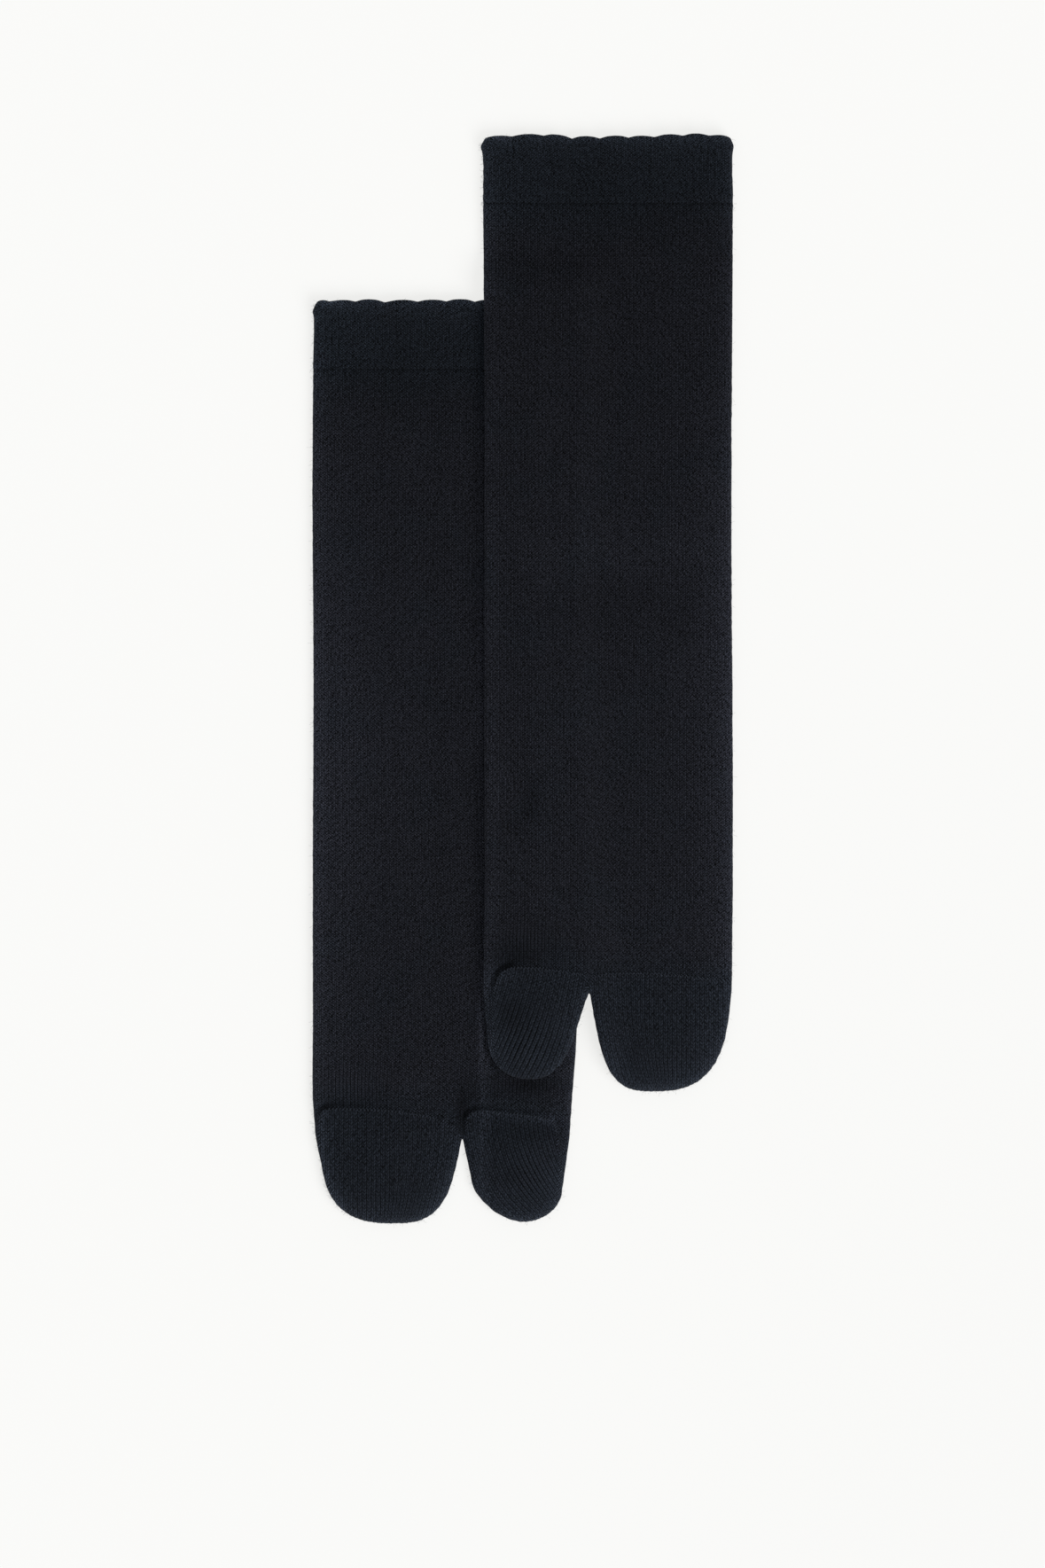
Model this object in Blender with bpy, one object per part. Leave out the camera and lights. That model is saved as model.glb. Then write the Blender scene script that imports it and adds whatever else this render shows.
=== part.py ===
"""A pair of split-toe (tabi) socks, laid flat with the instep up, one resting partly on the other.

Metres, +Z up. +Y runs from the toes to the cuffs, and the origin is under the middle of the pair.
Each sock is one knitted tube: a hollow wall with an open cuff and two closed toe pockets.
Sizes below are in millimetres. On a sock, "along" runs from the cuff towards the toes, and
"across" runs from the middle of the leg, positive towards the big toe.
"""

from collections import namedtuple

import bmesh
import bpy
import numpy as np

MM = 0.001

# The pair, as it lies
PAIR_WIDTH = 151.6
PAIR_LENGTH = 393.0
LAY_CLEARANCE = 0.6       # between the lower sock and the one that lies on it
DROP_START = 3.0          # past the lower sock, where the upper one starts to come down
DROP_LENGTH = 17.0

# The cloth
WALL = 1.2
BODY = 3.8                # both layers of the leg and the air between them
LEAST_GAP = 0.35          # air left between the layers under a crease
FOLD = 3.2                # half-round edge where the tube is folded flat
NOTCH_SETBACK = 3.2       # how far the inside of the toe split lies behind its outside

# The turned welt at the cuff
WELT_LENGTH = 24.6
WELT_EXTRA = 0.7
WELT_STEP = 0.6           # half the length over which the welt steps down to the leg
WELT_GROOVE = 0.45
WELT_GROOVE_PLACE = 1.6   # past the welt
SCALLOPS = 9              # across the front, and as many behind
SCALLOP_DEPTH = 1.3
SCALLOP_POINTS = 4

# The linked seam above the toes, and the toe pockets
SEAM_RIDGE = 0.55
SEAM_GROOVE = 0.4
SEAM_GROOVE_PLACE = 2.2   # before the seam
RIDGE_HALF_WIDTH = 0.9
GROOVE_HALF_WIDTH = 1.1
TOE_FULLNESS = 1.7
FULLNESS_START, FULLNESS_END = -6.0, 14.0     # from the seam
FULLNESS_SPREAD = 1.05    # of the toe's half width

# How finely the skins are divided: rows as distances along, columns as counts across
WELT_ROWS = (3.5, 9.0, 17.0, 23.8, 25.0, 26.2, 29.0)
SHIN_ROWS = (45.0, 70.0)
LEG_START, LEG_END, LEG_ROWS = 100.0, 48.0, 7         # from the cuff, before the seam
INSTEP_ROWS = (36.0, 28.0, 22.0, 17.5, 13.5, 9.5, 6.0)      # before the seam
SEAM_ROWS = (2.2, 1.0, 0.0, -1.2)                     # before the seam
TOE_ROWS = 8
LEG_COLUMNS, TOE_COLUMNS = 17, 7
INNER_LEG_COLUMNS, INNER_TOE_COLUMNS = 11, 6
ROUNDING_SHARES = (0.0, 0.12, 0.5)                    # of a fold, closest at the very edge
MOST_FOLD_SHARE = 0.3                                 # of a row's width

KNIT_COLOUR = (0.0102, 0.0112, 0.0150, 1.0)
KNIT_ROUGHNESS = 0.92

# A station gives the tube's two edges; outer is the little-toe edge and inner the big-toe edge.
Station = namedtuple("Station", "along outer inner")
# One side of a toe: half width near the tip, length of its rounding, and how square that is.
ToeSide = namedtuple("ToeSide", "shoulder rounding squareness")
Toe = namedtuple("Toe", "tip_along tip_across split_side far_side")
# A fold is a soft trough: its middle, its heading from the along direction, its size and depth.
Fold = namedtuple("Fold", "along across heading half_length half_width depth")
Sock = namedtuple("Sock", "name hand stations seam_along seam_slant crotch_along crotch_across"
                          " big_toe small_toes folds")

LEFT_SOCK = Sock(
    name="sock_left_foot",
    hand=-1,
    stations=[
        Station(along=0.0, outer=43.9, inner=44.1),
        Station(along=3.5, outer=45.1, inner=45.4),
        Station(along=8.0, outer=44.8, inner=45.0),
        Station(along=54.0, outer=44.8, inner=44.3),
        Station(along=84.0, outer=44.5, inner=44.5),
        Station(along=143.0, outer=44.8, inner=44.5),
        Station(along=222.0, outer=45.1, inner=44.4),
        Station(along=284.0, outer=44.8, inner=44.4),
        Station(along=309.1, outer=44.5, inner=44.9),
    ],
    seam_along=302.6,
    seam_slant=-0.018,
    crotch_along=309.1,
    crotch_across=6.7,
    big_toe=Toe(340.5, 27.4, ToeSide(9.7, 13.6, 2.4), ToeSide(12.2, 9.6, 2.3)),
    small_toes=Toe(345.0, -16.8, ToeSide(16.2, 24.8, 3.3), ToeSide(23.2, 28.0, 2.6)),
    folds=[
        Fold(along=290.0, across=27.0, heading=118, half_length=17, half_width=4.5, depth=0.95),
        Fold(along=285.5, across=2.0, heading=92, half_length=15, half_width=5.0, depth=0.55),
        Fold(along=316.0, across=32.0, heading=10, half_length=11, half_width=7.0, depth=1.5),
        Fold(along=241.0, across=29.0, heading=-35, half_length=10, half_width=4.0, depth=0.45),
        Fold(along=168.0, across=0.0, heading=90, half_length=34, half_width=9.0, depth=0.45),
        Fold(along=150.0, across=2.0, heading=90, half_length=34, half_width=9.0, depth=-0.9),
    ],
)

RIGHT_SOCK = Sock(
    name="sock_right_foot",
    hand=1,
    stations=[
        Station(along=0.0, outer=44.7, inner=44.6),
        Station(along=2.5, outer=45.9, inner=45.7),
        Station(along=7.0, outer=45.4, inner=45.2),
        Station(along=59.0, outer=46.1, inner=44.5),
        Station(along=118.0, outer=45.9, inner=43.9),
        Station(along=165.0, outer=45.8, inner=44.2),
        Station(along=211.0, outer=46.1, inner=46.0),
        Station(along=266.0, outer=46.1, inner=48.6),
        Station(along=288.0, outer=45.9, inner=47.1),
        Station(along=301.8, outer=44.9, inner=46.1),
    ],
    seam_along=293.8,
    seam_slant=0.038,
    crotch_along=301.8,
    crotch_across=8.0,
    big_toe=Toe(332.6, 30.1, ToeSide(15.6, 14.4, 1.8), ToeSide(11.8, 10.4, 1.9)),
    small_toes=Toe(333.1, -17.0, ToeSide(17.0, 23.2, 3.4), ToeSide(21.5, 18.4, 2.7)),
    folds=[
        Fold(along=286.0, across=7.5, heading=4, half_length=14, half_width=5.0, depth=0.9),
        Fold(along=34.0, across=-32.0, heading=20, half_length=10, half_width=4.0, depth=0.4),
        Fold(along=171.0, across=-6.0, heading=90, half_length=26, half_width=9.0, depth=0.4),
        Fold(along=153.0, across=-6.0, heading=90, half_length=26, half_width=9.0, depth=-0.7),
    ],
)


def ramp(start, end, value):
    """0 at the start, 1 at the end, smooth between."""
    share = np.clip((value - start) / (end - start), 0.0, 1.0)
    return share * share * (3.0 - 2.0 * share)


def bell(offset, half_width):
    return np.exp(-((offset / half_width) ** 2))


def edge_at(sock, side, along):
    """A smooth curve through one column of the stations."""
    places = np.array([station.along for station in sock.stations])
    values = np.array([getattr(station, side) for station in sock.stations])
    slopes = np.gradient(values, places)
    before = np.clip(np.searchsorted(places, along) - 1, 0, len(places) - 2)
    gap = places[before + 1] - places[before]
    share = np.clip((along - places[before]) / gap, 0.0, 1.0)
    rest = 1.0 - share
    start = rest * rest * ((1.0 + 2.0 * share) * values[before] + share * gap * slopes[before])
    end = share * share * ((1.0 + 2.0 * rest) * values[before + 1] - rest * gap * slopes[before + 1])
    return start + end


def seam_at(sock, across):
    return sock.seam_along + sock.seam_slant * across


def toe_half_width(side, root, reach, inset, from_tip):
    """Half the width on one side of a toe, at a distance from its tip."""
    shoulder = side.shoulder - inset
    rounding = side.rounding - inset / 2
    straight = shoulder + (root - shoulder) * from_tip / reach
    power = side.squareness
    left = 1.0 - np.clip(from_tip / rounding, 0.0, 1.0)
    return straight * (1.0 - left**power) ** (1.0 / power)


def toe_edges(sock, toe, inset, share):
    """(along, lowest across, highest across) of a toe's row; share is 1 at the root, 0 at the tip."""
    tip = toe.tip_along - inset
    crotch = sock.crotch_along - inset * NOTCH_SETBACK / WALL
    from_tip = (tip - crotch) * share
    side = 1 if toe is sock.big_toe else -1
    edge = edge_at(sock, "inner" if side > 0 else "outer", np.array(sock.crotch_along))
    far_root = edge - inset - side * toe.tip_across
    split_root = side * (toe.tip_across - sock.crotch_across)
    far = toe_half_width(toe.far_side, far_root, tip - crotch, inset, from_tip)
    split = toe_half_width(toe.split_side, split_root, tip - crotch, inset, from_tip)
    ends = toe.tip_across + side * far, toe.tip_across - side * split
    return tip - from_tip, min(ends), max(ends)


def fold_depth(folds, along, across):
    depth = 0.0
    for fold in folds:
        turn = np.radians(fold.heading)
        ahead = (along - fold.along) * np.cos(turn) + (across - fold.across) * np.sin(turn)
        aside = (across - fold.across) * np.cos(turn) - (along - fold.along) * np.sin(turn)
        depth = depth + fold.depth * bell(aside, fold.half_width) * bell(ahead, fold.half_length)
    return depth


def toe_fullness(sock, along, across):
    """The extra height of the toe pockets, full in the middle of each and none at the split."""
    past_seam = ramp(FULLNESS_START, FULLNESS_END, along - seam_at(sock, across))
    height = 0.0
    for toe in (sock.big_toe, sock.small_toes):
        width = 0.5 * (toe.split_side.shoulder + toe.far_side.shoulder)
        aside = (across - toe.tip_across) / (FULLNESS_SPREAD * width)
        height = height + TOE_FULLNESS * np.clip(1.0 - aside**2, 0.0, 1.0)
    return past_seam * height


def smooth_height(sock, along, across):
    """Height of the flattened tube, both layers, without its folds and grooves."""
    height = BODY + WELT_EXTRA * ramp(WELT_LENGTH + WELT_STEP, WELT_LENGTH - WELT_STEP, along)
    return height + toe_fullness(sock, along, across)


def thickness(sock, along, across):
    """Height of the flattened tube, both layers, where it is clear of its edges."""
    height = smooth_height(sock, along, across) - fold_depth(sock.folds, along, across)
    height = height - WELT_GROOVE * bell(along - WELT_LENGTH - WELT_GROOVE_PLACE, GROOVE_HALF_WIDTH)
    before_seam = seam_at(sock, across) - along
    height = height - SEAM_GROOVE * bell(before_seam - SEAM_GROOVE_PLACE, GROOVE_HALF_WIDTH)
    return np.maximum(height, 2.0 * WALL + LEAST_GAP)


def seam_relief(sock, along, across):
    """The linked seam's raised line, on the upper face only."""
    return SEAM_RIDGE * bell(along - seam_at(sock, across), RIDGE_HALF_WIDTH)


def place_of(sock):
    """World x of the middle of the leg and world y of the cuff, which put the pair about the origin."""
    widest = max(station.outer for station in sock.stations)
    axis = -sock.hand * (PAIR_WIDTH / 2 - widest)
    if sock is LEFT_SOCK:
        return axis, PAIR_LENGTH / 2
    return axis, sock.small_toes.tip_along - PAIR_LENGTH / 2


def lay_height(sock, along, across):
    """Height of a sock's underside: the left sock climbs over the right one."""
    if sock is RIGHT_SOCK:
        return np.zeros_like(along)
    axis, cuff = place_of(sock)
    lower_axis, lower_cuff = place_of(RIGHT_SOCK)
    lower_along = lower_cuff - (cuff - along)
    lower_across = RIGHT_SOCK.hand * (axis + sock.hand * across - lower_axis)
    edge = edge_at(RIGHT_SOCK, "inner", lower_along) + DROP_START
    over = ramp(edge + DROP_LENGTH, edge, lower_across)
    over = over * ramp(-DROP_START - DROP_LENGTH, -DROP_START, lower_along)
    return over * (smooth_height(RIGHT_SOCK, lower_along, lower_across) + LAY_CLEARANCE)


def climb_rows(sock):
    """Rows where the left sock climbs the right one's cuff and steps down off its welt."""
    if sock is RIGHT_SOCK:
        return []
    cuff_below = place_of(LEFT_SOCK)[1] - place_of(RIGHT_SOCK)[1]
    climb = np.linspace(cuff_below - DROP_START - DROP_LENGTH, cuff_below - DROP_START, 5)
    welt_end = cuff_below + WELT_LENGTH
    return [*climb, cuff_below + DROP_START, welt_end - WELT_STEP, welt_end + 2 * WELT_STEP]


def columns(low, high, count):
    """Places across a row: close together over each rounded edge, and even between."""
    width = high - low
    fold = min(FOLD, MOST_FOLD_SHARE * width)
    near = fold * np.array(ROUNDING_SHARES)
    middle = np.linspace(fold, width - fold, count)
    return low + np.concatenate([near, middle, (width - near)[::-1]])


def cuff_row(low, high):
    """The scalloped edge: round humps that meet in points."""
    count = SCALLOPS * SCALLOP_POINTS + 1
    across = np.linspace(low, high, count)
    hump = np.abs(np.sin(np.linspace(0.0, SCALLOPS * np.pi, count)))
    along = SCALLOP_DEPTH * (1.0 - hump)
    return along, across


def leg_rows(sock, inset, count, toe_count):
    """Rows from the cuff down to just above the toe split, as (along, across) arrays."""
    seam = sock.seam_along
    crotch = sock.crotch_along - inset * NOTCH_SETBACK / WALL
    shin = climb_rows(sock) or list(SHIN_ROWS)
    leg = list(np.linspace(LEG_START, seam - LEG_END, LEG_ROWS))
    instep = [seam - back for back in INSTEP_ROWS]
    beside_seam = [seam - back for back in (SEAM_ROWS[:1] if inset else SEAM_ROWS)]
    ends = (edge_at(sock, side, np.array(0.0)) - inset for side in ("outer", "inner"))
    rows = [cuff_row(*(sign * end for sign, end in zip((-1, 1), ends)))]
    above_split = [crotch - FOLD * share for share in (1.0, 0.4, 0.12)]
    for along in [*WELT_ROWS, *shin, *leg, *instep, *beside_seam, *above_split]:
        low = inset - edge_at(sock, "outer", np.array(along))
        high = edge_at(sock, "inner", np.array(along)) - inset
        across = columns(low, high, count)
        if along in above_split:
            middle = sock.crotch_across
            beside = columns(low, middle, toe_count), columns(middle, high, toe_count)[1:]
            across = np.concatenate(beside)
        slant = sock.seam_slant if along in beside_seam else 0.0
        rows.append((along + slant * across, across))
    return rows


def toe_rows(sock, toe, inset, count):
    """Rows from the toe split to the tip, closer together where the tip rounds off."""
    rows = []
    for step in range(TOE_ROWS + 1):
        share = 1.0 - np.sin(0.5 * np.pi * step / TOE_ROWS)
        along, low, high = toe_edges(sock, toe, inset, share)
        across = columns(low, high, count) if step < TOE_ROWS else np.array([toe.tip_across])
        rows.append((np.full(len(across), along), across))
    return rows


def distance_to_edge(points, outline):
    """Shortest distance in plan from each point to the outline's segments."""
    starts, ends = outline[:-1], outline[1:]
    runs = ends - starts
    lengths = np.maximum((runs**2).sum(axis=1), 1e-12)
    shares = ((points[:, None] - starts) * runs).sum(axis=2) / lengths
    nearest = starts + np.clip(shares, 0.0, 1.0)[..., None] * runs
    return np.sqrt(((points[:, None] - nearest) ** 2).sum(axis=2)).min(axis=1)


def outline_of(rows, big, small):
    """The tube's edge in plan: down one side, round both toes and up the other side."""
    def ends(stack, which):
        return [(along[which], across[which]) for along, across in stack]

    little_side = ends(rows[1:], 0) + ends(small, 0)
    split = ends(small, -1)[::-1] + ends(big, 0)[1:]
    big_side = (ends(rows[1:], -1) + ends(big, -1))[::-1]
    return np.array(little_side + split + big_side)


def edge_rounding(distance, fold):
    """0 on the tube's edge, 1 past its fold, a quarter round between."""
    share = np.clip(distance / fold, 0.0, 1.0)
    return np.sqrt(1.0 - (1.0 - share) ** 2)


def zipped(near, far, across):
    """Triangles between two rows of point numbers, which may differ in count."""
    faces = []
    i = j = 0
    while i < len(near) - 1 or j < len(far) - 1:
        at_end = j == len(far) - 1
        if at_end or (i < len(near) - 1 and across[near[i + 1]] <= across[far[j + 1]]):
            faces.append((near[i], near[i + 1], far[j]))
            i += 1
        else:
            faces.append((near[i], far[j + 1], far[j]))
            j += 1
    return faces


def skin(sock, inset, leg_count, toe_count):
    """One skin of the sock, outside or inside: points, faces and the two cuff rows.

    The upper and lower layers are the same plan at two heights, joined along the tube's edge.
    """
    leg = leg_rows(sock, inset, leg_count, toe_count)
    big = toe_rows(sock, sock.big_toe, inset, toe_count)
    small = toe_rows(sock, sock.small_toes, inset, toe_count)
    plan, numbers, on_edge = [], [], []
    for row in leg + small + big:
        along, across = row
        numbers.append(list(range(len(plan), len(plan) + len(along))))
        plan += list(zip(along, across))
        on_edge += [place in (0, len(along) - 1) for place in range(len(along))]
    big_start = len(leg) + len(small)
    crotch = numbers[len(leg)][-1]
    numbers[big_start][0] = crotch
    plan = np.array(plan)
    along, across = plan.T

    outline = outline_of(leg, big, small)
    fold = FOLD - inset
    rounding = edge_rounding(distance_to_edge(plan, outline), fold)
    rounding[on_edge] = 0.0
    height = thickness(sock, along, across)
    middle = lay_height(sock, along, across) + 0.5 * height
    reach = (0.5 * height - inset) * rounding
    relief = seam_relief(sock, along, across) * rounding if inset == 0.0 else 0.0

    toe_root = numbers[len(leg)] + numbers[big_start][1:]
    stacks = [
        numbers[:len(leg)] + [toe_root],
        numbers[len(leg):big_start],
        numbers[big_start:],
    ]
    faces = []
    for stack in stacks:
        for near, far in zip(stack, stack[1:]):
            faces += zipped(near, far, across)

    count = len(plan)
    lower_number = np.arange(count) + count
    lower_number[on_edge] = np.arange(count)[on_edge]
    upper = np.column_stack([sock.hand * across, -along, middle + reach + relief])
    lower = np.column_stack([sock.hand * across, -along, middle - reach])
    lower_faces = [tuple(lower_number[corner] for corner in face[::-1]) for face in faces]
    cuff_upper = numbers[0]
    cuff_lower = [int(lower_number[corner]) for corner in cuff_upper]
    points = np.vstack([upper, lower])
    return points, faces + lower_faces, cuff_upper, cuff_lower


def knit_material():
    material = bpy.data.materials.new("dark_navy_knit")
    material.use_nodes = True
    shader = material.node_tree.nodes["Principled BSDF"]
    shader.inputs["Base Color"].default_value = KNIT_COLOUR
    shader.inputs["Roughness"].default_value = KNIT_ROUGHNESS
    shader.inputs["Metallic"].default_value = 0.0
    return material


def make_sock(sock, material):
    outer, outer_faces, outer_top, outer_bottom = skin(sock, 0.0, LEG_COLUMNS, TOE_COLUMNS)
    inner, inner_faces, inner_top, inner_bottom = skin(
        sock, WALL, INNER_LEG_COLUMNS, INNER_TOE_COLUMNS
    )
    start = len(outer)
    points = np.vstack([outer, inner])
    faces = outer_faces + [tuple(corner + start for corner in face[::-1]) for face in inner_faces]
    across = sock.hand * points[:, 0]
    for outside, inside in ((outer_top, inner_top), (outer_bottom, inner_bottom)):
        faces += zipped(outside, [corner + start for corner in inside], across)

    mesh = bpy.data.meshes.new(sock.name)
    mesh.from_pydata((points * MM).tolist(), [], [[int(corner) for corner in face] for face in faces])
    shape = bmesh.new()
    shape.from_mesh(mesh)
    loose = [corner for corner in shape.verts if not corner.link_faces]
    bmesh.ops.delete(shape, geom=loose, context="VERTS")
    bmesh.ops.recalc_face_normals(shape, faces=shape.faces)
    shape.to_mesh(mesh)
    shape.free()
    mesh.shade_smooth()
    mesh.materials.append(material)

    axis, cuff = place_of(sock)
    knitted = bpy.data.objects.new(sock.name, mesh)
    knitted.location = (axis * MM, cuff * MM, 0.0)
    bpy.context.scene.collection.objects.link(knitted)
    return knitted


def main():
    for leftover in list(bpy.data.objects):
        bpy.data.objects.remove(leftover, do_unlink=True)
    pair = bpy.data.objects.new("tabi_socks", None)
    bpy.context.scene.collection.objects.link(pair)
    material = knit_material()
    for sock in (LEFT_SOCK, RIGHT_SOCK):
        make_sock(sock, material).parent = pair


main()
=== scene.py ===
"""Looks of a pair of dark navy split-toe (tabi) socks, laid flat with the instep up.

Each packed sock is replaced by a fine hollow shell of the same form: turned welt with a scalloped
edge, knitted leg, toe pockets with their linked seam, creases and single wales. Sizes are in
millimetres. On a sock, "along" runs from the cuff towards the toes, and "across" runs from the
middle of the leg, positive towards the big toe.
"""

from collections import namedtuple

import bpy
import numpy as np
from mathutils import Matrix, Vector, geometry, kdtree


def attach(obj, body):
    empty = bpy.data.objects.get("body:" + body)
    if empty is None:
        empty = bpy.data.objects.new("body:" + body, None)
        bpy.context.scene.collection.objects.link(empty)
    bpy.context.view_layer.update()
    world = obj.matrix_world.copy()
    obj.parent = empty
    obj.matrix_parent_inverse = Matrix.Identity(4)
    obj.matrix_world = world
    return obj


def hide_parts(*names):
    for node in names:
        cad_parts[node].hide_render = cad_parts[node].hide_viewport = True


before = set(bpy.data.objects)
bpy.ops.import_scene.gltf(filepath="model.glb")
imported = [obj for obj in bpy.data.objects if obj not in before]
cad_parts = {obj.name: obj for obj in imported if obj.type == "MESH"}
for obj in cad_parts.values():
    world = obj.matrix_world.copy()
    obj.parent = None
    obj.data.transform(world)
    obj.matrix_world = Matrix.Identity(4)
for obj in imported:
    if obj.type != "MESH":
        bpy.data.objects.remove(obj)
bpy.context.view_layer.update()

MM = 0.001
TURN = 2.0 * np.pi

# The pair, as it lies
LAY_CLEARANCE = 0.6       # between the lower sock and the one that lies on it
DROP_START, DROP_LENGTH = 3.0, 17.0    # where the upper sock comes down, past the lower one

# The cloth
WALL = 1.2
BODY = 3.8                # both layers of the leg and the air between them
LEAST_GAP = 0.35          # of that air, under a crease
FOLD = 3.2                # width of the rounded edge where the tube is folded flat
MOUTH_GAPE, MOUTH_GAPE_LENGTH = 0.7, 9.0
LIP = 0.45                # how far the turned edge bulges past the cuff line

# The welt, the seam and the toe pockets
WELT_LENGTH = 24.6
WELT_EXTRA, WELT_STEP = 0.55, 2.2      # its extra height, and half the length of the step down
WELT_GROOVE, WELT_GROOVE_PLACE = 0.3, 0.5
GROOVE_HALF_WIDTH = 0.6
TOE_FULLNESS, FULLNESS_SPREAD = 1.7, 1.05
FULLNESS_START, FULLNESS_END = -6.0, 14.0    # past the seam
CREST_POWER = 2.4         # the scallops' crests, fuller than a parabola's

# The knitting
WALES_ACROSS = 72
COURSE = 0.905
CAP_WALE, CAP_COURSE = 1.66, 1.15
POINTS_PER_WALE = 3

Station = namedtuple("Station", "along outer inner")
OUTER, INNER = 1, 2       # the edges' columns in a station
ToeSide = namedtuple("ToeSide", "shoulder rounding squareness")
Toe = namedtuple("Toe", "tip_along tip_across split_side far_side")
Fold = namedtuple("Fold", "along across heading half_length half_width depth")
# A valley of the scalloped edge: how far along it and the crest that follows it lie
Scallop = namedtuple("Scallop", "across dip crest")
# A point of a toe pocket's edge, with its ridge's height and the depth of the groove beside it
Welt = namedtuple("Welt", "along across ridge groove")
# A patch of cloth with painted light or painted shade on it, or whose wales stand apart (open)
Patch = namedtuple("Patch", "along across half_length half_width nap open", defaults=[0.0])
# hand is the world's x for a step towards the big toe; lean is how the pocket's wales lean, by
# the distance past the seam and by its square; stitch is the linking yarn's colour
Sock = namedtuple("Sock", (
    "name node hand axis cuff stations seam_along seam_slant crotch_along crotch_across "
    "big_toe small_toes lean stitch folds scallops big_edge small_edge patches"))


def table(kind, rows):
    """A table's rows, their columns named by the kind."""
    return [kind(*row) for row in rows]


LEFT_SOCK = Sock(
    name="left_foot",
    node="sock_left_foot",
    hand=-1,
    axis=30.7,
    cuff=196.5,
    stations=table(Station, [
        # along, outer, inner
        (0, 44.5, 44.5),
        (2.6, 45.4, 45.7),
        (8, 45.1, 45.1),
        (23, 45.3, 45),
        (54, 45.2, 44.8),
        (84, 45, 44.6),
        (143, 44.8, 44.5),
        (222, 45.3, 44.5),
        (284, 45.2, 44.6),
        (309.1, 44.9, 45),
    ]),
    seam_along=302.6,
    seam_slant=-0.018,
    crotch_along=309.1,
    crotch_across=6.7,
    big_toe=Toe(340.9, 27.4, ToeSide(10.4, 13.7, 2.35), ToeSide(14.7, 14.0, 2.4)),
    small_toes=Toe(345.4, -16.8, ToeSide(16.6, 24.8, 3.3), ToeSide(23.8, 27.6, 2.7)),
    lean=(0.26, 0.0028),
    stitch=(0.0130, 0.0155, 0.0210),
    folds=table(Fold, [
        # along, across, heading, half_length, half_width, depth
        (290, 27, 118, 17, 4.5, 0.95),
        (285.5, 2, 92, 15, 5, 0.55),
        (316, 32, 10, 11, 7, 1.5),
        (241, 29, -35, 10, 4, 0.45),
        (168, 0, 90, 34, 9, 0.45),
        (150, 2, 90, 34, 9, -0.9),
    ]),
    scallops=table(Scallop, [
        # across, dip, crest
        (-44, 1.2, 0.35),
        (-36.6, 0.8, -0.2),
        (-27, 0.8, 0.1),
        (-16.8, 1.3, 0.6),
        (-7.5, 1.35, 0.6),
        (3, 1.75, 0.75),
        (13, 1.8, 0.2),
        (23.2, 0.7, 0),
        (34.4, 1, 0.6),
        (44.2, 1.4, 1.4),
    ]),
    big_edge=table(Welt, [
        # along, across, ridge, groove
        (305.6, 7.2, 0.1, 0),
        (302.8, 9.8, 0.3, 0),
        (302, 14.6, 0.3, 0),
        (301, 22.5, 0.35, 0.05),
        (300.4, 31.2, 0.5, 0.1),
        (300.7, 35.2, 0.8, 0.95),
        (302.7, 38.6, 0.8, 0.95),
        (306.8, 40.4, 0.4, 0.6),
        (312.6, 41.3, 0.25, 0.35),
        (320.6, 41.6, 0.2, 0.3),
        (328.6, 41, 0.2, 0.25),
        (335, 38.9, 0.1, 0.1),
    ]),
    small_edge=table(Welt, [
        # along, across, ridge, groove
        (305.4, -44.6, 0.3, 0.05),
        (305.2, -41.4, 0.3, 0.05),
        (304.1, -31.8, 0.35, 0.05),
        (302.6, -17.4, 0.35, 0),
        (302.5, -4.6, 0.35, 0),
        (303.2, 3.4, 0.35, 0.1),
        (305.6, 6.2, 0.1, 0),
    ]),
    patches=table(Patch, [
        # along, across, half_length, half_width, painted light and shade, open
        (290.6, 29, 7, 11, -0.22, 1),
        (296.6, 33.5, 4, 8.5, -0.36, 0.7),
        (305, 43.2, 26, 2.6, 0.2),
        (303.8, 36.4, 2.6, 4, 0.16),
        (317, 34.8, 6.5, 5.2, -0.34, 0.9),
        (329.5, 38, 6, 5, 0.16),
        (333, 27, 4, 9, 0.12),
        (334, 16.5, 7, 4.5, -0.26),
        (308, 44.8, 20, 1.3, 0.3),
        (331, 42.6, 6, 1.8, 0.5),
        (306.5, 4.2, 4.5, 1, -0.3),
        (320, 0.5, 9, 4.5, -0.12),
        (290, -42, 30, 6, 0.14),
        (328, 30, 14, 14, 0.02, 1),
        (337, -17, 9, 22, 0, 0.65),
        (242, 29, 9, 8, -0.05),
        (237.8, 26.7, 5, 2.6, -0.16),
        (244.2, 28.6, 4, 3, -0.16),
        (249.9, 35.5, 2.5, 5.5, -0.14),
        (236, 37, 9, 4, 0.14),
        (148.2, -6, 9, 36, 0.16),
        (169, -1, 9, 30, -0.12),
        (200, -42, 85, 9, 0.32),
        (32, -26, 16, 34, -0.16),
        (72, -4, 46, 75, -0.15),
        (180, 4.6, 150, 4.6, -0.09),
        (215, 42.6, 80, 3.2, 0.16),
        (10, 34, 15, 12, 0.12),
        (11, 10, 15, 12, -0.07),
    ]),
)

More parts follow.
